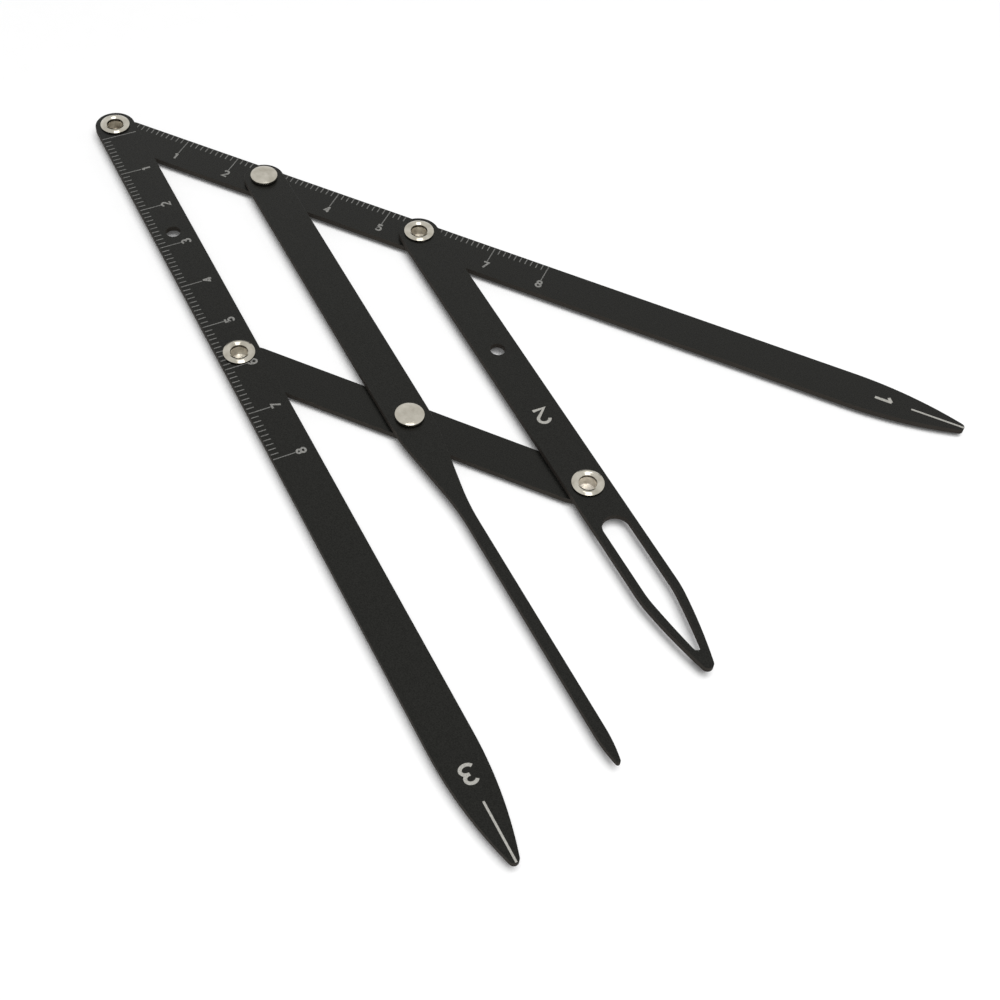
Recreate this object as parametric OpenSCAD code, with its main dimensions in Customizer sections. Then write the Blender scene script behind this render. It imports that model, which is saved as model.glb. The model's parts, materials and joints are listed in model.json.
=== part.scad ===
// Golden ratio caliper: five flat plates in two layers, held by six hollow rivets.
// The plates form a parallelogram linkage whose four tips stay on one line as it opens
// and divide that line in the golden ratio.
// The origin lies under the apex rivet, +X runs along leg 3 and +Z is up.

/* [Linkage] */
// Distance between neighbouring pivots along leg 1 and along the cross link
pivot_pitch = 30; // [27:0.5:36]
// Distance from an arm's upper pivot to its pivot on the cross link
link_reach = 60.4; // [45:0.1:66]
// Angle between leg 3 and leg 1 in the stored pose
open_angle = 40; // [20:1:120]

/* [Plates] */
// Width of the arms and of the cross link
arm_w = 6.9; // [6.2:0.1:8]
// Thickness of each plate
plate_t = 0.95; // [0.6:0.05:1.6]
// Free gap between the lower and the upper layer
layer_gap = 0.05; // [0.02:0.01:0.2]
// Radius of the lower plates' ends, which keep behind the edges of the arms above them
under_end_r = 3; // [2.6:0.1:3.1]
// Distance from an end's pivot where a lower plate starts to narrow
under_end_from = 2.3; // [1.5:0.1:4]

/* [Tips of legs 1 and 3] */
// Radius of the curved sides that lead to the tip
tip_side_r = 66; // [40:1:100]
// Radius of the blunt nose
tip_nose_r = 0.75; // [0.4:0.05:1.2]

/* [Pointer] */
// Distance past the cross link's pivot where the narrowing sides would meet the arm's edges
taper_from = 2.6; // [2:0.1:5]
// Length over which the pointer narrows
taper_len = 16.5; // [12:0.5:24]
// Radius that rounds both ends of the taper
taper_r = 45; // [20:1:60]
// Width of the needle
needle_w = 1.8; // [1.2:0.1:3]
// Radius of the curved sides at the needle's tip
needle_side_r = 25; // [15:1:40]
// Radius of the needle's nose
needle_nose_r = 0.35; // [0.1:0.05:0.5]

/* [Loop of leg 2] */
// Distance past the cross link's pivot where the opening starts
loop_from = 6.8; // [5:0.1:9]
// Width of the strips on both sides of the opening
loop_wall = 1.2; // [1:0.1:1.8]
// Radius of the shoulder where the outer edges leave the straight
shoulder_r = 20; // [10:1:40]
// Angle that the shoulder turns through
shoulder_turn = 7.5; // [4:0.5:9]
// Radius of the outer edges beyond the shoulder
loop_side_r = 90; // [70:1:140]
// Radius of the opening's edges beyond the shoulder
opening_side_r = 155; // [100:5:220]
// Radius of the loop's nose
loop_nose_r = 0.9; // [0.6:0.05:1.2]
// Radius of the opening's narrow end
loop_end_r = 0.65; // [0.3:0.05:0.8]
// Distance by which the loop's nose stops short of the line of the tips
loop_back = 0.55; // [0:0.05:1]

/* [Spare holes] */
// Diameter of the small hole in legs 2 and 3
spare_hole_d = 2.5; // [1.5:0.1:3.2]
// Distance of that hole from the leg's upper pivot
spare_hole_at = 30; // [12:0.5:40]

/* [Rivets] */
// Diameter of the shank
shank_d = 3.4; // [3.2:0.05:3.8]
// Radial clearance of the shank in the plates' holes
pivot_clearance = 0.05; // [0.02:0.01:0.1]
// Free gap between the lower plate and the rivet's end below it
bearing_gap = 0.05; // [0.02:0.01:0.2]
// Diameter of the flat head
head_d = 4.65; // [4.4:0.05:6]
// Thickness of the head
head_h = 0.95; // [0.6:0.05:1.2]
// Radius that rounds the top of the head off towards its edge
head_edge_r = 3; // [0.5:0.1:3.2]
// Angle that this rounding turns through before the upright edge
head_edge_turn = 26; // [15:1:35]
// Diameter of the rolled rim on the hollow end
rim_d = 5.1; // [4.6:0.1:6]
// Height of the rim's upright edge
rim_edge_h = 0.3; // [0.1:0.05:0.5]
// Slope of the rim from its crest to both edges
rim_slope = 31; // [15:1:40]
// Rounding of the rim's crest
rim_crest_r = 0.4; // [0.1:0.05:0.6]
// Diameter of the hollow
bore_d = 2.9; // [2:0.1:3]
// Depth of the hollow's wall below the rim's crest
bore_depth = 2.4; // [1.2:0.1:2.5]
// Further depth of the hollow's conical floor
bore_cone_h = 0.2; // [0.1:0.05:0.3]

/* [Hidden] */
golden = (1 + sqrt(5)) / 2;
// Leg 1 reaches golden squared times the span between its outer pivots, and each arm that hangs
// on it is shorter by the distance of its pivot from the apex, which keeps the tips on one line.
leg_len = 2 * pivot_pitch * pow(golden, 2);
pointer_len = leg_len - pivot_pitch;
leg_2_len = leg_len - 2 * pivot_pitch;

half_w = arm_w / 2;
pivot_hole_d = shank_d + 2 * pivot_clearance;

// The rim: its two slopes rise from the edges to a crest halfway between them
rim_mid_r = (rim_d + bore_d) / 4;
rim_half_w = (rim_d - bore_d) / 4;
rim_h = rim_edge_h + rim_half_w * tan(rim_slope) + rim_crest_r * (1 - 1 / cos(rim_slope));

// Heights of the two layers: the lower one clears the surface by the rivets' ends
lower_z = max(head_h, rim_h) + bearing_gap;
upper_z = lower_z + plate_t + layer_gap;
top_z = upper_z + plate_t;
grip = top_z - lower_z + bearing_gap;

// Allowed distance between a curve and its chords, and overshoot of a cut
curve_error = 0.004;
overcut = 1;

plate_color = "#2d2d2b";
rivet_color = "#c4bfb2";

// Points of an arc; skip = 1 leaves out a first point that the stretch before it already has
function arc(center, r, from, to, skip = 0) =
    let (steps = ceil(abs(to - from) / (2 * acos(1 - curve_error / r))))
    [for (i = [skip : steps]) let (a = from + (to - from) * i / steps) center + r * [cos(a), sin(a)]];

// Closes an outline that runs from the arm's end over one side to its tip, both on the X axis
function both_sides(half) =
    concat(half, [for (i = [len(half) - 2 : -1 : 1]) [half[i].x, -half[i].y]]);

// Rounded end of an arm around its first pivot
function round_end() = arc([0, 0], half_w, 180, 90);

// End of a lower plate around its first pivot: its sides close in on a smaller radius
function under_end() =
    let (
        corner = [under_end_from, half_w],
        touch = atan2(corner.y, corner.x) + acos(under_end_r / norm(corner))
    )
    concat(arc([0, 0], under_end_r, 180, touch), [corner]);

// A tip: two sides of radius side_r start level at half width half_tip and run into a nose
function tip_run(half_tip, side_r, nose_r) = sqrt(pow(side_r - nose_r, 2) - pow(side_r - half_tip, 2));
function tip(half_tip, side_r, nose_r, end_x) =
    let (
        run = tip_run(half_tip, side_r, nose_r),
        nose_x = end_x - nose_r,
        turn = acos((side_r - half_tip) / (side_r - nose_r))
    )
    concat(
        arc([nose_x - run, half_tip - side_r], side_r, 90, 90 - turn),
        arc([nose_x, 0], nose_r, 90 - turn, 0, 1)
    );

// Legs 1 and 3 differ in the end at the apex
leg_tip = tip(half_w, tip_side_r, tip_nose_r, leg_len);
leg_1_outline = both_sides(concat(under_end(), leg_tip));
leg_3_outline = both_sides(concat(round_end(), leg_tip));

// Centre pointer: the arm narrows to a slim needle
taper_turn = atan((half_w - needle_w / 2) / taper_len);
taper_blend = taper_r * tan(taper_turn / 2);
taper_x = link_reach + taper_from;
pointer_outline = both_sides(concat(
    round_end(),
    arc([taper_x - taper_blend, half_w - taper_r], taper_r, 90, 90 - taper_turn),
    arc([taper_x + taper_len + taper_blend, needle_w / 2 + taper_r], taper_r, 270 - taper_turn, 270),
    tip(needle_w / 2, needle_side_r, needle_nose_r, pointer_len)
));

// Leg 2: past a shoulder its outer edges and, taken in by an inset, those of the opening close in to a nose.
// The centre of such an edge and the nose's distance are measured from the shoulder's place along the leg.
shoulder_y = half_w - shoulder_r;
shoulder_dir = [sin(shoulder_turn), cos(shoulder_turn)];
function side_center(inset, side_r) = [0, shoulder_y] + (shoulder_r - inset - side_r) * shoulder_dir;
function side_turn(inset, side_r, nose_r) = acos(-side_center(inset, side_r).y / (side_r - nose_r));
function nose_run(inset, side_r, nose_r) =
    side_center(inset, side_r).x + (side_r - nose_r) * sin(side_turn(inset, side_r, nose_r));
shoulder_x = leg_2_len - loop_back - loop_nose_r - nose_run(0, loop_side_r, loop_nose_r);

// One edge from the shoulder to the middle of the nose
function loop_edge(inset, side_r, nose_r) =
    let (
        turn = side_turn(inset, side_r, nose_r),
        nose_x = shoulder_x + nose_run(inset, side_r, nose_r)
    )
    concat(
        arc([shoulder_x, shoulder_y], shoulder_r - inset, 90, 90 - shoulder_turn),
        arc([shoulder_x, 0] + side_center(inset, side_r), side_r, 90 - shoulder_turn, 90 - turn, 1),
        arc([nose_x, 0], nose_r, 90 - turn, 0, 1)
    );

leg_2_outline = both_sides(concat(round_end(), loop_edge(0, loop_side_r, loop_nose_r)));
opening_r = half_w - loop_wall;
opening_x = link_reach + loop_from + opening_r;
opening_outline = both_sides(concat(
    arc([opening_x, 0], opening_r, 180, 90),
    loop_edge(loop_wall, opening_side_r, loop_end_r)
));

// Cross link: both ends alike
link_end = under_end();
link_outline = both_sides(concat(
    link_end,
    [for (i = [len(link_end) - 1 : -1 : 0]) [2 * pivot_pitch - link_end[i].x, link_end[i].y]]
));

// A plate along +X with pivot holes and small spare holes at the given distances
module plate(outline, pivots, spares = []) {
    color(plate_color)
    difference() {
        linear_extrude(plate_t) polygon(outline);
        for (x = pivots) drill(x, pivot_hole_d);
        for (x = spares) drill(x, spare_hole_d);
    }
}

module drill(x, d) {
    translate([x, 0, -overcut]) cylinder(d = d, h = plate_t + 2 * overcut, $fn = 64);
}

// Places its children at a distance along leg 1, still parallel to leg 3
module at_leg_1(distance) {
    translate(distance * [cos(open_angle), sin(open_angle), 0]) children();
}

// Profile of a rivet that stands on its head, with the head's bearing face at height 0
rim_edge_z = grip + rim_edge_h;
bore_floor_z = grip + rim_h - bore_depth;
head_flat_r = head_d / 2 - head_edge_r * sin(head_edge_turn);
rivet_profile = concat(
    [[0, -head_h]],
    arc([head_flat_r, head_edge_r - head_h], head_edge_r, 270, 270 + head_edge_turn),
    [[head_d / 2, 0], [shank_d / 2, 0], [shank_d / 2, grip], [rim_d / 2, grip], [rim_d / 2, rim_edge_z]],
    arc([rim_mid_r, grip + rim_h - rim_crest_r], rim_crest_r, 90 - rim_slope, 90 + rim_slope),
    [[bore_d / 2, rim_edge_z], [bore_d / 2, bore_floor_z], [0, bore_floor_z - bore_cone_h]]
);

module rivet() {
    color(rivet_color) rotate_extrude($fn = 64) polygon(rivet_profile);
}

// The hollow end up, its rim seated on the upper plate
module rivet_rim_up() {
    translate([0, 0, top_z - grip]) rivet();
}

// The head up, seated on the upper plate
module rivet_head_up() {
    translate([0, 0, top_z]) rotate([180, 0, 0]) rivet();
}

module leg_1() {
    translate([0, 0, lower_z]) rotate(open_angle)
        plate(leg_1_outline, [0, pivot_pitch, 2 * pivot_pitch]);
}

module leg_2() {
    color(plate_color)
    at_leg_1(2 * pivot_pitch) translate([0, 0, upper_z])
        difference() {
            plate(leg_2_outline, [0, link_reach], [spare_hole_at]);
            translate([0, 0, -overcut]) linear_extrude(plate_t + 2 * overcut) polygon(opening_outline);
        }
}

module leg_3() {
    translate([0, 0, upper_z]) plate(leg_3_outline, [0, link_reach], [spare_hole_at]);
}

module center_pointer() {
    at_leg_1(pivot_pitch) translate([0, 0, upper_z]) plate(pointer_outline, [0, link_reach]);
}

module cross_link() {
    translate([link_reach, 0, lower_z]) rotate(open_angle)
        plate(link_outline, [0, pivot_pitch, 2 * pivot_pitch]);
}

module apex_rivet() rivet_rim_up();
module pointer_upper_rivet() at_leg_1(pivot_pitch) rivet_head_up();
module leg_2_upper_rivet() at_leg_1(2 * pivot_pitch) rivet_rim_up();
module leg_3_lower_rivet() translate([link_reach, 0, 0]) rivet_rim_up();
module pointer_lower_rivet() at_leg_1(pivot_pitch) translate([link_reach, 0, 0]) rivet_head_up();
module leg_2_lower_rivet() at_leg_1(2 * pivot_pitch) translate([link_reach, 0, 0]) rivet_rim_up();

leg_1();
leg_2();
leg_3();
center_pointer();
cross_link();
apex_rivet();
pointer_upper_rivet();
leg_2_upper_rivet();
leg_3_lower_rivet();
pointer_lower_rivet();
leg_2_lower_rivet();
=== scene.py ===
"""Looks of the golden ratio caliper: coated plates, nickel rivets and engraved scales, on a white table."""

import json
import math

import bmesh
import bpy
from mathutils import Matrix, Quaternion, Vector


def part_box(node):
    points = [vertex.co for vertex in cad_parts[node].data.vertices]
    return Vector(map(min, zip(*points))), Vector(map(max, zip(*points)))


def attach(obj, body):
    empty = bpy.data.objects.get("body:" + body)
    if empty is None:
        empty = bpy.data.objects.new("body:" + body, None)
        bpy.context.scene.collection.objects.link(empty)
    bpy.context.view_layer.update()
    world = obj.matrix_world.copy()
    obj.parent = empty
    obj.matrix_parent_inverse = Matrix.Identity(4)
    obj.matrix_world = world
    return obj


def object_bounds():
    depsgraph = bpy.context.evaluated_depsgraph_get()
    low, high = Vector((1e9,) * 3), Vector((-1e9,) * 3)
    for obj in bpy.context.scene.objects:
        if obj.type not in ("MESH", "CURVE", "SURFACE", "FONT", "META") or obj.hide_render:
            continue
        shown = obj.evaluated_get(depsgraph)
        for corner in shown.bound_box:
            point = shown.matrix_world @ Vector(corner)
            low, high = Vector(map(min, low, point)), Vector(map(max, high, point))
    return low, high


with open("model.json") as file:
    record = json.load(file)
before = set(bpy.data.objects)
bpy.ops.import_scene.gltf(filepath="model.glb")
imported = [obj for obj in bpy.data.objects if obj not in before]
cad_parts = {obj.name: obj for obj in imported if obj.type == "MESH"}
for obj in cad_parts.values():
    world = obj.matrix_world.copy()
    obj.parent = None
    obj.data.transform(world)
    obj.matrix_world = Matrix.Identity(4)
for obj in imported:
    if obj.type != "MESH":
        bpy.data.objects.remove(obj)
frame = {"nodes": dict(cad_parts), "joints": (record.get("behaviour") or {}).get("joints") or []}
cad_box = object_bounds()

MM = 0.001

# Camera, in millimetres and degrees: the lens is for an image 36 mm wide
CAMERA_PLACE = Vector((228.33, -54.65, 191.88))
CAMERA_AIM = Vector((101.82, 26.03, 0))
CAMERA_ROLL = 6.951
CAMERA_LENS = 57.27
CAMERA_NEAREST = 10

# Plates, in millimetres and degrees: how their cut edges are rounded, and what counts as one point or flat
EDGE_ROUND = 0.08
EDGE_SEGMENTS = 3
EDGE_ANGLE = 40
WELD_DISTANCE = 0.001
FLAT_ANGLE = 0.3

# Engraving, in millimetres on an arm's top face
MARK_HEIGHT = 0.02
MARK_STEP = 0.004
MARK_ROOT = 0.005
SCALE_ZERO = 3.0
SCALE_END = 80
CENTIMETRE = 10
TICK_WIDTH = 0.17
TICK_LENGTH = 1.35
LONG_TICK_LENGTH = 3.75
EDGE_MARGIN = 0.1
ZERO_LINE_END = 2.8
DIGIT_HEIGHT = 1.75
DIGIT_WIDTH = 1.2
DIGIT_STROKE = 0.34
DIGIT_FOOT = -2.1
NUMBER_HEIGHT = 3.35
NUMBER_WIDTH = 2.5
NUMBER_STROKE = 0.52
NUMBER_FOOT = {"leg_1": 141.8, "leg_2": 43.9, "leg_3": 141.45}
TIP_LINE_WIDTH = 0.33
TIP_LINE = {"leg_1": (148.2, 157), "leg_3": (147.5, 157)}
ARC_STEP = 12
MITRE_LIMIT = 1.6

# Colours in linear RGB: a pair is the darkest and the lightest tone of a pattern
COATING_FACE = (0.0012, 0.0012, 0.0011), (0.0030, 0.0030, 0.0027)
COATING_GRAIN = (0.0115, 0.0115, 0.0104)
COATING_WALL = (0.024, 0.021, 0.0182), (0.040, 0.0348, 0.030)
COATING_WORN = (0.050, 0.042, 0.035)
COATING_SHEEN = (1.0, 1.0, 0.91)
NICKEL = (0.38, 0.355, 0.298), (0.56, 0.533, 0.465)
# Painted light: the hollows' tones are lighter than the plating, standing in for light on their floors and
# walls; their dullness is the plating's own
NICKEL_HOLLOW_PAINTED_LIGHT = (0.45, 0.415, 0.357), (0.79, 0.76, 0.69)
# Painted light: a still lighter pair for the one rivet whose hollow floor catches a lamp's light
NICKEL_HOLLOW_BRIGHT_PAINTED_LIGHT = (0.63, 0.59, 0.525), (0.91, 0.875, 0.815)
# Painted shade: the dark band at the foot of rims and heads
NICKEL_FOOT_SHADE = (0.05, 0.045, 0.04)
TICK_METAL = (0.085, 0.085, 0.081), (0.25, 0.247, 0.235)
DIGIT_METAL = (0.14, 0.139, 0.131), (0.34, 0.335, 0.316)
NUMBER_METAL = (0.31, 0.303, 0.277), (0.51, 0.50, 0.463)
TABLE_WHITE = (0.95, 0.95, 0.95), (0.98, 0.98, 0.98)

# Rivets: the one whose hollow gets the brighter painted light, and the heights, in millimetres, between
# which a tone
# comes in or goes out: the hollows' painted light and the painted foot shade. The head's are measured from
# the lower plates' underside, the others from the upper plates' top.
# The rivet given the brighter painted light in its hollow
RIVET_WITH_BRIGHT_PAINTED_LIGHT = "leg_2_lower_rivet"
HOLLOW_IN = (0.1, -0.5)
HEAD_OUT = (-0.2, -0.1)
FOOT_SHADE_IN = (-0.22, -0.12)
FOOT_SHADE_OUT = (0.22, 0.28)

# Light, in metres and watts: the share of the level that the world gives, and two lamps high above the tool,
# a softbox that gloss doesn't show and a strip within it for the glints
WORLD_LEVEL = 0.2
LAMPS_FROM = Vector((0.316, -0.047, 0.95))
LAMPS = {
    "softbox": {"width": 1.15, "height": 1.15, "distance": 1.5, "power": 17.1, "in_gloss": False},
    "strip": {"width": 0.62, "height": 1.0, "distance": 1.45, "power": 5.5, "in_gloss": True},
}

# Table, in metres: its size, and the distances from the tool between which its glow grows to white.
# FLOOR_GLOW is the strength of that glow at the tool.
# FLOOR_DROP is the depth of the table below the rivets, in millimetres.
FLOOR_SIZE = 6.0
FLOOR_GLOW = 0.05
FLOOR_WHITE_FROM = 0.15
FLOOR_WHITE_AT = 0.6
FLOOR_DROP = 0.01


# Places on the arms

pivots = {joint["name"]: Vector(joint["pos_m"]) for joint in frame["joints"]}
apex = pivots["leg_1_swing"]
along_leg_1 = (pivots["leg_2_swing"] - apex).normalized()
along_leg_3 = (pivots["cross_link_swing"] - apex).normalized()

# Top of the upper plates and underside of the lower ones, in metres
upper_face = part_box("leg_3")[1].z
lower_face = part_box("leg_1")[0].z

# Half of an arm's width, in millimetres
arm_half_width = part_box("leg_3")[1].y / MM


def top_of(plate, pivot, along):
    """Frame on a plate's top face, in metres: X runs from the pivot along the arm, Y to its left, Z up."""
    up = Vector((0, 0, 1))
    axes = Matrix((along, up.cross(along), up)).transposed()
    origin = Vector((pivot.x, pivot.y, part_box(plate)[1].z))
    return Matrix.Translation(origin) @ axes.to_4x4()


arm_tops = {
    "leg_1": top_of("leg_1", apex, along_leg_1),
    "leg_2": top_of("leg_2", pivots["leg_2_swing"], along_leg_3),
    "leg_3": top_of("leg_3", apex, along_leg_3),
}


# Material helpers

def new_material(name):
    """A node material with only a Principled shader; returns the material, its node tree and the shader."""
    material = bpy.data.materials.new(name)
    material.use_nodes = True
    tree = material.node_tree
    tree.nodes.clear()
    shader = tree.nodes.new("ShaderNodeBsdfPrincipled")
    output = tree.nodes.new("ShaderNodeOutputMaterial")
    tree.links.new(shader.outputs["BSDF"], output.inputs["Surface"])
    return material, tree, shader


def coordinates_of(tree, output="Object"):
    return tree.nodes.new("ShaderNodeTexCoord").outputs[output]


def upright_part(tree, vector):
    """The Z component of a vector."""
    parts = tree.nodes.new("ShaderNodeSeparateXYZ")
    tree.links.new(vector, parts.inputs["Vector"])
    return parts.outputs["Z"]


def noise(tree, coordinates, scale, detail=2.0, stretch=None):
    """A noise pattern of the given scale per metre; stretch gives it other scales along X, Y and Z."""
    if stretch:
        mapping = tree.nodes.new("ShaderNodeMapping")
        mapping.inputs["Scale"].default_value = stretch
        tree.links.new(coordinates, mapping.inputs["Vector"])
        coordinates = mapping.outputs["Vector"]
    node = tree.nodes.new("ShaderNodeTexNoise")
    node.inputs["Scale"].default_value = scale
    node.inputs["Detail"].default_value = detail
    tree.links.new(coordinates, node.inputs["Vector"])
    return node.outputs["Fac"]


def spread(tree, value, low, high, to_low=0.0, to_high=1.0, smooth=False):
    """Maps value from low..high to to_low..to_high, clamped."""
    node = tree.nodes.new("ShaderNodeMapRange")
    node.interpolation_type = "SMOOTHSTEP" if smooth else "LINEAR"
    node.inputs["From Min"].default_value = low
    node.inputs["From Max"].default_value = high
    node.inputs["To Min"].default_value = to_low
    node.inputs["To Max"].default_value = to_high
    tree.links.new(value, node.inputs["Value"])
    return node.outputs["Result"]


def height_fade(tree, height, face, heights, to_low=0.0, to_high=1.0, smooth=False):
    """Spreads a height in metres over two heights that are measured from a face in millimetres."""
    low, high = (face + distance * MM for distance in heights)
    return spread(tree, height, low, high, to_low, to_high, smooth)


def combine(tree, operation, a, b):
    """A Math node over two sockets or numbers."""
    node = tree.nodes.new("ShaderNodeMath")
    node.operation = operation
    for socket, value in zip(node.inputs, (a, b)):
        if isinstance(value, (int, float)):
            socket.default_value = value
        else:
            tree.links.new(value, socket)
    return node.outputs["Value"]


def mix_color(tree, factor, a, b):
    """Colour a at factor 0 and b at factor 1; a and b are sockets or RGB triples."""
    node = tree.nodes.new("ShaderNodeMix")
    node.data_type = "RGBA"
    # The node has like-named sockets for numbers and for colours, so they are taken by index
    color_a = node.inputs[6]
    color_b = node.inputs[7]
    mixed_color = node.outputs[2]
    tree.links.new(factor, node.inputs[0])
    for socket, value in ((color_a, a), (color_b, b)):
        if isinstance(value, tuple):
            socket.default_value = (*value, 1)
        else:
            tree.links.new(value, socket)
    return mixed_color


def bump(tree, shader, height, distance, strength):
    """Presses a height pattern into the shader's normal; distance is in metres."""
    node = tree.nodes.new("ShaderNodeBump")
    node.inputs["Distance"].default_value = distance
    node.inputs["Strength"].default_value = strength
    tree.links.new(height, node.inputs["Height"])
    tree.links.new(node.outputs["Normal"], shader.inputs["Normal"])


# Materials

def black_coating():
    """Satin black coating: fine grain, faint mottling, browner and duller cut walls, worn upper edges."""
    material, tree, shader = new_material("black_coating")
    place = coordinates_of(tree)
    facing_up = upright_part(tree, coordinates_of(tree, "Normal"))
    flatness = combine(tree, "ABSOLUTE", facing_up, 0)
    on_face = spread(tree, flatness, low=0.25, high=0.75, smooth=True)

    grain = noise(tree, place, scale=5200, detail=3)
    mottle = noise(tree, place, scale=140, detail=3)
    face = mix_color(tree, mottle, *COATING_FACE)
    face = mix_color(tree, spread(tree, grain, low=0.35, high=0.75), face, COATING_GRAIN)
    wall = mix_color(tree, mottle, *COATING_WALL)
    color = mix_color(tree, on_face, wall, face)

    off_wall = spread(tree, facing_up, low=0.25, high=0.6, smooth=True)
    off_face = spread(tree, facing_up, low=0.8, high=0.97, to_low=1, to_high=0, smooth=True)
    on_edge = combine(tree, "MULTIPLY", off_wall, off_face)
    worn_spots = spread(tree, noise(tree, place, scale=900, detail=4), low=0.5, high=0.72)
    color = mix_color(tree, combine(tree, "MULTIPLY", on_edge, worn_spots), color, COATING_WORN)
    tree.links.new(color, shader.inputs["Base Color"])

    satin = spread(tree, grain, low=0.3, high=0.7, to_low=0.24, to_high=0.36)
    wall_dullness = spread(tree, on_face, low=0, high=1, to_low=0.62, to_high=0)
    tree.links.new(combine(tree, "ADD", satin, wall_dullness), shader.inputs["Roughness"])
    shader.inputs["Specular IOR Level"].default_value = 0.19
    shader.inputs["Specular Tint"].default_value = (*COATING_SHEEN, 1)
    bump(tree, shader, grain, distance=0.012 * MM, strength=0.5)
    return material


def nickel(name, hollow):
    """Warm nickel plating with faint scratches and soft spots.

    It is dull in the rivets' hollows, which have their own lighter pair of tones as painted light on their
    floors and walls, and it has a painted shade, a dark band, at the foot of a rim or head, where that meets
    a plate, and just inside each hollow's lip.
    """
    material, tree, shader = new_material(name)
    place = coordinates_of(tree)
    cloud = noise(tree, place, scale=520, detail=3)
    scratch = noise(tree, place, scale=1500, stretch=(1, 7, 3))
    color = mix_color(tree, spread(tree, cloud, low=0.3, high=0.7), *NICKEL)

    height = upright_part(tree, place)
    # Painted light: the hollows get their lighter pair of tones, standing in for light on their floors and
    # walls
    below_top = height_fade(tree, height, upper_face, HOLLOW_IN, smooth=True)
    above_head = height_fade(tree, height, lower_face, HEAD_OUT)
    sunk = combine(tree, "MULTIPLY", below_top, above_head)
    patch = spread(tree, noise(tree, place, scale=800, detail=3), low=0.35, high=0.65)
    color = mix_color(tree, sunk, color, mix_color(tree, patch, *hollow))

    # Painted shade: a dark band at the foot of rims and heads, which also rings each hollow just below its
    # lip
    above_plate = height_fade(tree, height, upper_face, FOOT_SHADE_IN)
    below_rim = height_fade(tree, height, upper_face, FOOT_SHADE_OUT, to_low=1, to_high=0)
    color = mix_color(tree, combine(tree, "MULTIPLY", above_plate, below_rim), color, NICKEL_FOOT_SHADE)
    tree.links.new(color, shader.inputs["Base Color"])

    shader.inputs["Metallic"].default_value = 1
    rough = spread(tree, cloud, low=0.3, high=0.7, to_low=0.11, to_high=0.17)
    rough = combine(tree, "ADD", rough, spread(tree, scratch, low=0.4, high=0.7, to_high=0.04))
    rough = combine(tree, "ADD", rough, spread(tree, sunk, low=0, high=1, to_high=0.2))
    tree.links.new(rough, shader.inputs["Roughness"])
    bump(tree, shader, scratch, distance=0.004 * MM, strength=0.35)
    return material


def engraving(name, dark, light):
    """Metal laid bare by the laser: a matt grey with a speckle of coating left in it."""
    material, tree, shader = new_material(name)
    place = coordinates_of(tree)
    speckle = noise(tree, place, scale=7000)
    patch = noise(tree, place, scale=700)
    color = mix_color(tree, spread(tree, speckle, low=0.35, high=0.65), dark, light)
    color = mix_color(tree, spread(tree, patch, low=0.45, high=0.75, to_high=0.35), color, dark)
    tree.links.new(color, shader.inputs["Base Color"])
    rough = spread(tree, speckle, low=0.3, high=0.7, to_low=0.5, to_high=0.7)
    tree.links.new(rough, shader.inputs["Roughness"])
    shader.inputs["Metallic"].default_value = 0.4
    bump(tree, shader, speckle, distance=0.006 * MM, strength=0.4)
    return material


# Plates and rivets

def round_edges(node):
    """Rounds a plate's cut edges; the mesh is first welded and freed of its flat triangles."""
    weld = node.modifiers.new("weld", "WELD")
    weld.merge_threshold = WELD_DISTANCE * MM
    flatten = node.modifiers.new("flatten", "DECIMATE")
    flatten.decimate_type = "DISSOLVE"
    flatten.angle_limit = math.radians(FLAT_ANGLE)
    edge = node.modifiers.new("edge", "BEVEL")
    edge.width = EDGE_ROUND * MM
    edge.segments = EDGE_SEGMENTS
    edge.limit_method = "ANGLE"
    edge.angle_limit = math.radians(EDGE_ANGLE)
    edge.harden_normals = True


def dress(node, material):
    node.data.materials.clear()
    node.data.materials.append(material)


coating = black_coating()
plating = nickel("nickel", NICKEL_HOLLOW_PAINTED_LIGHT)
# One rivet gets the brighter painted light in its hollow
plating_with_bright_painted_light = nickel("nickel_bright_painted_light_hollow", NICKEL_HOLLOW_BRIGHT_PAINTED_LIGHT)
for name, node in frame["nodes"].items():
    if name == RIVET_WITH_BRIGHT_PAINTED_LIGHT:
        dress(node, plating_with_bright_painted_light)
    elif name.endswith("rivet"):
        dress(node, plating)
    else:
        dress(node, coating)
        round_edges(node)


# Engraved marks

def arc(center, radii, start, end):
    """Points of an elliptic arc from one angle to another, in degrees."""
    count = max(2, round(abs(end - start) / ARC_STEP))
    angles = [math.radians(start + (end - start) * i / count) for i in range(count + 1)]
    return [(center[0] + radii[0] * math.cos(a), center[1] + radii[1] * math.sin(a)) for a in angles]


def ring(center, radii):
    return arc(center, radii, 0, 360)[:-1]


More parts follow.
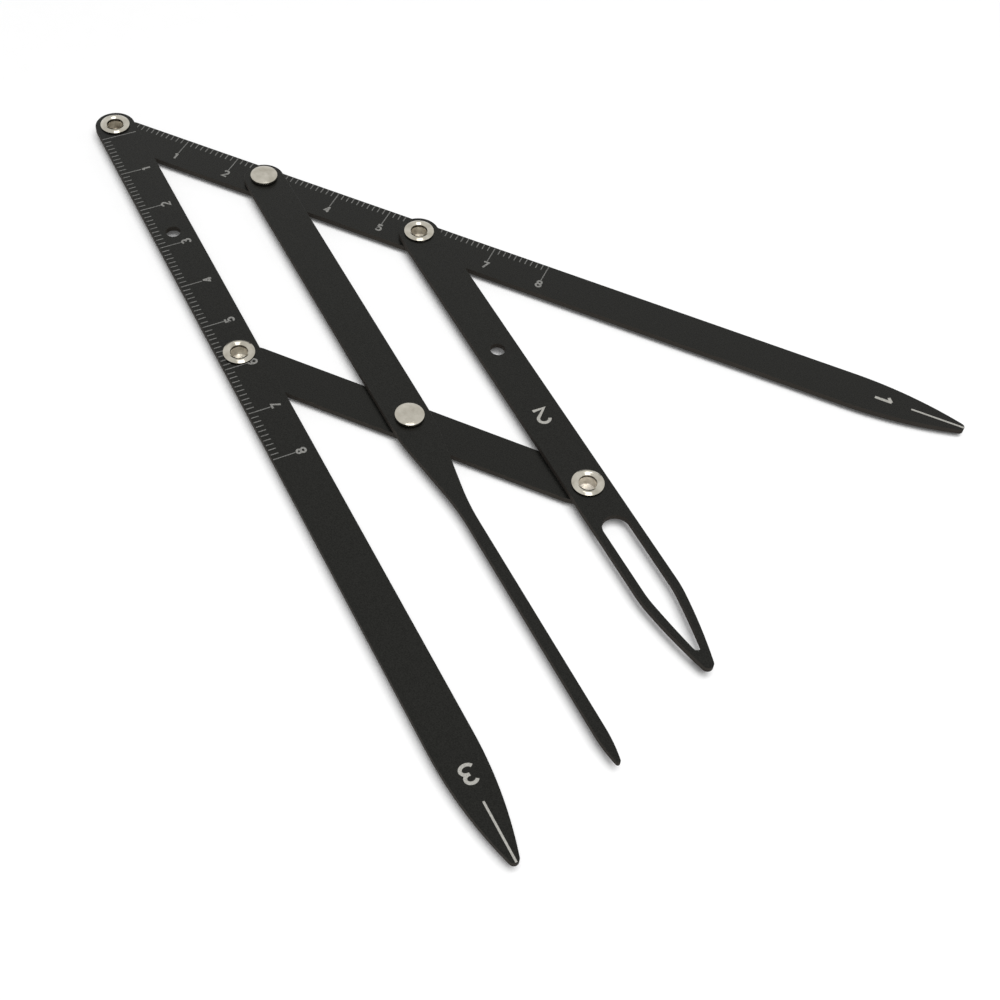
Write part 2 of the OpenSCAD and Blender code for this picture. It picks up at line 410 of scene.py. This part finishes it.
# Centre lines of the numerals, in a box one wide and one high. Each stroke is (points, whether it closes).
GLYPHS = {
    "1": [
        ([(0.13, 0.76), (0.55, 1.0)], False),
        ([(0.55, 1.0), (0.55, 0.0)], False),
    ],
    "2": [(arc((0.5, 0.71), (0.47, 0.29), 165, -35) + [(0.0, 0.0), (1.0, 0.0)], False)],
    "3": [
        (arc((0.47, 0.755), (0.43, 0.245), 155, -90) + [(0.42, 0.51)], False),
        ([(0.42, 0.51)] + arc((0.47, 0.26), (0.5, 0.26), 90, -155), False),
    ],
    "4": [
        ([(0.72, 1.0), (0.0, 0.28), (1.0, 0.28)], False),
        ([(0.72, 1.0), (0.72, 0.0)], False),
    ],
    "5": [([(0.92, 1.0), (0.18, 1.0), (0.08, 0.50)] + arc((0.48, 0.31), (0.5, 0.31), 140, -150), False)],
    "6": [
        (arc((0.58, 0.5), (0.58, 0.5), 55, 180) + [(0.0, 0.31)], False),
        (ring((0.5, 0.31), (0.5, 0.31)), True),
    ],
    "7": [([(0.0, 1.0), (1.0, 1.0), (0.36, 0.0)], False)],
    "8": [
        (ring((0.5, 0.76), (0.42, 0.24)), True),
        (ring((0.5, 0.26), (0.5, 0.26)), True),
    ],
}


def numeral(digit, width, height, stroke):
    """Strokes of a numeral centred on X with its foot at Y 0; width and height include the stroke's own."""
    reach_x = width - stroke
    reach_y = height - stroke
    return [
        ([((x - 0.5) * reach_x, y * reach_y + stroke / 2) for x, y in points], stroke, closed)
        for points, closed in GLYPHS[digit]
    ]


def placed(strokes, place):
    """The strokes with each point moved by place(x, y)."""
    return [([place(x, y) for x, y in points], width, closed) for points, width, closed in strokes]


def band_edges(points, width, closed):
    """Left and right edge points of a band of constant width along a line, with mitred corners."""
    line = [Vector(p) for p in points]
    count = len(line)
    edges = []
    for i, here in enumerate(line):
        before = line[i - 1] if closed or i > 0 else None
        after = line[(i + 1) % count] if closed or i < count - 1 else None
        into = (here - before).normalized() if before is not None else None
        out = (after - here).normalized() if after is not None else None
        into = into or out
        out = out or into
        left = Vector((-into.y - out.y, into.x + out.x))
        left.normalize()
        share = left.dot(Vector((-into.y, into.x)))
        mitre = 1 / max(share, 1 / MITRE_LIMIT)
        offset = left * (width / 2 * mitre)
        edges.append((here + offset, here - offset))
    return edges


def add_band(mesh, face_frame, points, width, closed, lift):
    """Adds a thin closed band along points, in millimetres on an arm's top face."""
    bottom = lift - MARK_ROOT
    top = lift + MARK_HEIGHT
    rings = []
    for left, right in band_edges(points, width, closed):
        section = ((left, bottom), (right, bottom), (right, top), (left, top))
        corners = [face_frame @ Vector((p.x * MM, p.y * MM, z * MM)) for p, z in section]
        rings.append([mesh.verts.new(corner) for corner in corners])
    following = rings[1:] + rings[:1] if closed else rings[1:]
    for near, far in zip(rings, following):
        for k in range(len(near)):
            mesh.faces.new((near[k], near[k - 1], far[k - 1], far[k]))
    if not closed:
        mesh.faces.new(rings[0])
        mesh.faces.new(list(reversed(rings[-1])))


def engrave(name, leg, strokes, material):
    """One piece of engraving on a leg's top face, which rides on that leg.

    Every second stroke stands a little higher, so that crossing strokes never share a face.
    """
    mesh = bmesh.new()
    for index, (points, width, closed) in enumerate(strokes):
        add_band(mesh, arm_tops[leg], points, width, closed, index % 2 * MARK_STEP)
    bmesh.ops.recalc_face_normals(mesh, faces=mesh.faces)
    data = bpy.data.meshes.new(name)
    mesh.to_mesh(data)
    mesh.free()
    data.materials.append(material)
    piece = bpy.data.objects.new(name, data)
    bpy.context.scene.collection.objects.link(piece)
    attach(piece, leg)


def scale_ticks(outer):
    """Millimetre and centimetre marks from an arm's outer edge inwards.

    The outer edge is on the arm's left where outer is 1, and on its right where it is -1.
    """
    ticks = []
    for step in range(SCALE_END + 1):
        x = SCALE_ZERO + step
        length = TICK_LENGTH if step % CENTIMETRE else LONG_TICK_LENGTH
        start = outer * (arm_half_width - EDGE_MARGIN)
        end = outer * (arm_half_width - length)
        ticks.append(([(x, start), (x, end)], TICK_WIDTH, False))
    return ticks


def scale_digits(outer):
    """Centimetre numerals past the long marks' inner ends, with their tops to the outer edge."""
    strokes = []
    for step in range(CENTIMETRE, SCALE_END + 1, CENTIMETRE):
        digit = numeral(str(step // CENTIMETRE), DIGIT_WIDTH, DIGIT_HEIGHT, DIGIT_STROKE)
        at = SCALE_ZERO + step
        strokes += placed(digit, lambda x, y: (at + outer * x, outer * (DIGIT_FOOT + y)))
    return strokes


def leg_number(leg):
    """The large numeral that ends the leg's name, with its top to the tip."""
    strokes = numeral(leg[-1], NUMBER_WIDTH, NUMBER_HEIGHT, NUMBER_STROKE)
    foot = NUMBER_FOOT[leg]
    return placed(strokes, lambda x, y: (foot + y, -x))


tick_metal = engraving("tick_engraving", *TICK_METAL)
digit_metal = engraving("digit_engraving", *DIGIT_METAL)
number_metal = engraving("number_engraving", *NUMBER_METAL)

engrave("leg_1_scale_marks", "leg_1", scale_ticks(1), tick_metal)
engrave("leg_1_scale_digits", "leg_1", scale_digits(1), digit_metal)
zero_line = ([(SCALE_ZERO, -arm_half_width + EDGE_MARGIN), (SCALE_ZERO, ZERO_LINE_END)], TICK_WIDTH, False)
engrave("leg_3_scale_marks", "leg_3", scale_ticks(-1)[1:] + [zero_line], tick_metal)
engrave("leg_3_scale_digits", "leg_3", scale_digits(-1), digit_metal)
for leg in NUMBER_FOOT:
    engrave(f"{leg}_number", leg, leg_number(leg), number_metal)
for leg, (start, end) in TIP_LINE.items():
    engrave(f"{leg}_tip_line", leg, [([(start, 0), (end, 0)], TIP_LINE_WIDTH, False)], number_metal)


# Table, light and camera

tool_middle = (cad_box[0] + cad_box[1]) / 2


def seen_directly(tree):
    """1 for rays from the camera, off a gloss or through glass, and 0 for light on matt surfaces."""
    path = tree.nodes.new("ShaderNodeLightPath")
    seen = combine(tree, "MAXIMUM", path.outputs["Is Camera Ray"], path.outputs["Is Glossy Ray"])
    return combine(tree, "MAXIMUM", seen, path.outputs["Is Transmission Ray"])


def white_table():
    """White floor: matt, with a faint mottle.

    It glows for the rays that show it, and more so where the lamps don't reach.
    """
    material, tree, shader = new_material("white_table")
    place = coordinates_of(tree)
    color = mix_color(tree, noise(tree, place, scale=300, detail=3), *TABLE_WHITE)
    tree.links.new(color, shader.inputs["Base Color"])
    shader.inputs["Roughness"].default_value = 0.9
    shader.inputs["Specular IOR Level"].default_value = 0.0
    shader.inputs["Emission Color"].default_value = (1, 1, 1, 1)
    length = tree.nodes.new("ShaderNodeVectorMath")
    length.operation = "LENGTH"
    tree.links.new(place, length.inputs[0])
    distance = length.outputs["Value"]
    glow = spread(tree, distance, FLOOR_WHITE_FROM, FLOOR_WHITE_AT, to_low=FLOOR_GLOW, smooth=True)
    glow = combine(tree, "MULTIPLY", glow, seen_directly(tree))
    tree.links.new(glow, shader.inputs["Emission Strength"])
    return material


def build_table():
    mesh = bmesh.new()
    bmesh.ops.create_grid(mesh, x_segments=1, y_segments=1, size=FLOOR_SIZE / 2)
    data = bpy.data.meshes.new("table")
    mesh.to_mesh(data)
    mesh.free()
    data.materials.append(white_table())
    table = bpy.data.objects.new("table", data)
    table.location = (tool_middle.x, tool_middle.y, -FLOOR_DROP * MM)
    bpy.context.scene.collection.objects.link(table)


def build_world():
    """White all round: full strength where it is seen, and WORLD_LEVEL as light."""
    world = bpy.data.worlds.new("studio")
    bpy.context.scene.world = world
    world.use_nodes = True
    tree = world.node_tree
    background = tree.nodes["Background"]
    background.inputs["Color"].default_value = (1, 1, 1, 1)
    level = spread(tree, seen_directly(tree), low=0, high=1, to_low=WORLD_LEVEL)
    tree.links.new(level, background.inputs["Strength"])


def build_lamp(name, width, height, distance, power, in_gloss):
    """A rectangular lamp that faces the middle of the tool."""
    data = bpy.data.lights.new(name, "AREA")
    data.shape = "RECTANGLE"
    data.size = width
    data.size_y = height
    data.energy = power
    lamp = bpy.data.objects.new(name, data)
    lamp.location = tool_middle + LAMPS_FROM.normalized() * distance
    lamp.rotation_mode = "QUATERNION"
    lamp.rotation_quaternion = LAMPS_FROM.to_track_quat("Z", "Y")
    lamp.visible_camera = False
    lamp.visible_glossy = in_gloss
    bpy.context.scene.collection.objects.link(lamp)


def build_camera():
    data = bpy.data.cameras.new("camera")
    data.lens = CAMERA_LENS
    data.clip_start = CAMERA_NEAREST * MM
    camera = bpy.data.objects.new("camera", data)
    camera.location = CAMERA_PLACE * MM
    camera.rotation_mode = "QUATERNION"
    level = (CAMERA_AIM - CAMERA_PLACE).to_track_quat("-Z", "Y")
    camera.rotation_quaternion = level @ Quaternion((0, 0, 1), math.radians(CAMERA_ROLL))
    bpy.context.scene.collection.objects.link(camera)
    bpy.context.scene.camera = camera


build_table()
build_world()
for name, lamp in LAMPS.items():
    build_lamp(name, **lamp)
build_camera()
bpy.context.scene.view_settings.view_transform = "Standard"
